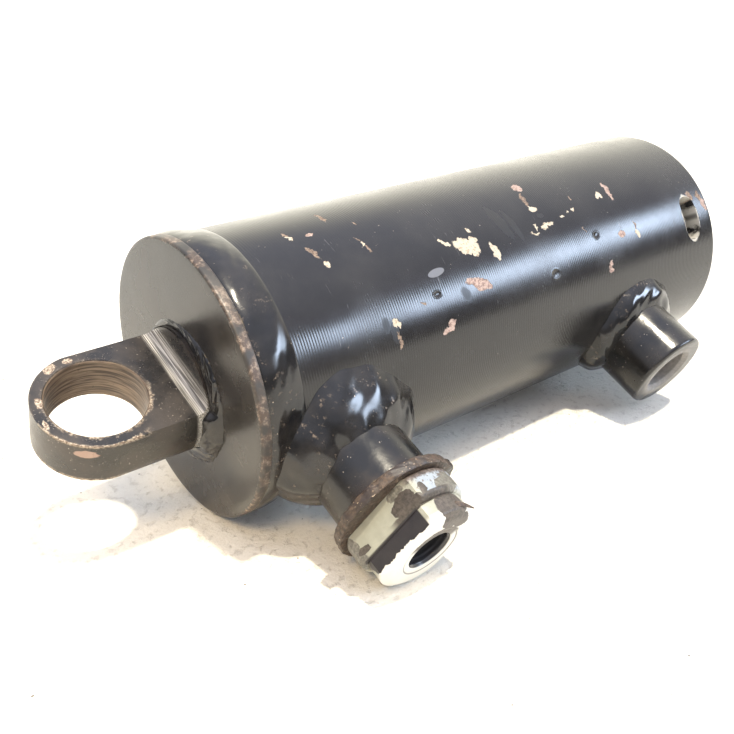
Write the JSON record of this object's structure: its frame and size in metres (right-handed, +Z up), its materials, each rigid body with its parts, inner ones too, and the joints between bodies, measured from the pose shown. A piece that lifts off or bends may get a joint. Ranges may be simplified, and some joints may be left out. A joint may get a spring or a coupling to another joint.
{
  "type": "hydraulic cylinder",
  "caption": "Double-acting hydraulic cylinder: welded black barrel with an eye lug on its cap, side ports, a port adaptor and a wire-locked gland around a drilled rod.",
  "frame": {"origin": "on the floor under the middle of the cylinder's box, as it lies propped on its port adaptor", "axes": "+X along the barrel from the eye lug to the rod end, +Z up, the ports point towards -Y and a little down"},
  "size_m": [0.2406, 0.1126, 0.0795],
  "materials": {
    "black_paint": "glossy black paint with chips",
    "painted_weld": "glossy black paint over a lumpy weld bead",
    "lug_paint": "worn black paint with rust and bare steel",
    "rusty_ring": "rusty and greasy",
    "adaptor_paint": "peeling cream paint over bare and black steel",
    "machined_steel": "turned steel",
    "wire_steel": "drawn steel wire",
    "seal_rubber": "matt black rubber",
    "backup_plastic": "smooth off-white plastic",
    "guide_band": "matt dark green composite",
    "seal_plastic": "smooth blue polyurethane",
    "piston_seal_plastic": "smooth bronze filled plastic",
    "rod_chrome": "hard chrome plate"
  },
  "bodies": {
    "barrel": {"barrel_tube": "black_paint", "end_cap": "black_paint", "cap_weld": "painted_weld", "base_lug": "lug_paint", "lug_weld": "painted_weld", "cap_port_boss": "black_paint", "rod_port_boss": "black_paint", "cap_port_weld": "painted_weld", "rod_port_weld": "painted_weld", "sealing_ring": "rusty_ring", "port_adaptor": "adaptor_paint", "gland": "machined_steel", "locking_wire": "wire_steel", "gland_o_ring": "seal_rubber", "gland_backup_ring": "backup_plastic", "rod_guide_band": "guide_band", "rod_seal": "seal_plastic", "rod_wiper": "seal_plastic"},
    "rod": {"piston_rod": "rod_chrome", "piston": "machined_steel", "piston_guide_band_1": "guide_band", "piston_guide_band_2": "guide_band", "piston_seal": "piston_seal_plastic", "piston_seal_energiser": "seal_rubber", "piston_o_ring": "seal_rubber", "piston_nut": "machined_steel"}
  },
  "joints": [
    {"name": "rod_slide", "type": "slide", "parent": "barrel", "child": "rod", "axis": [1, 0, 0], "range_m": [0, 0.09]}
  ]
}
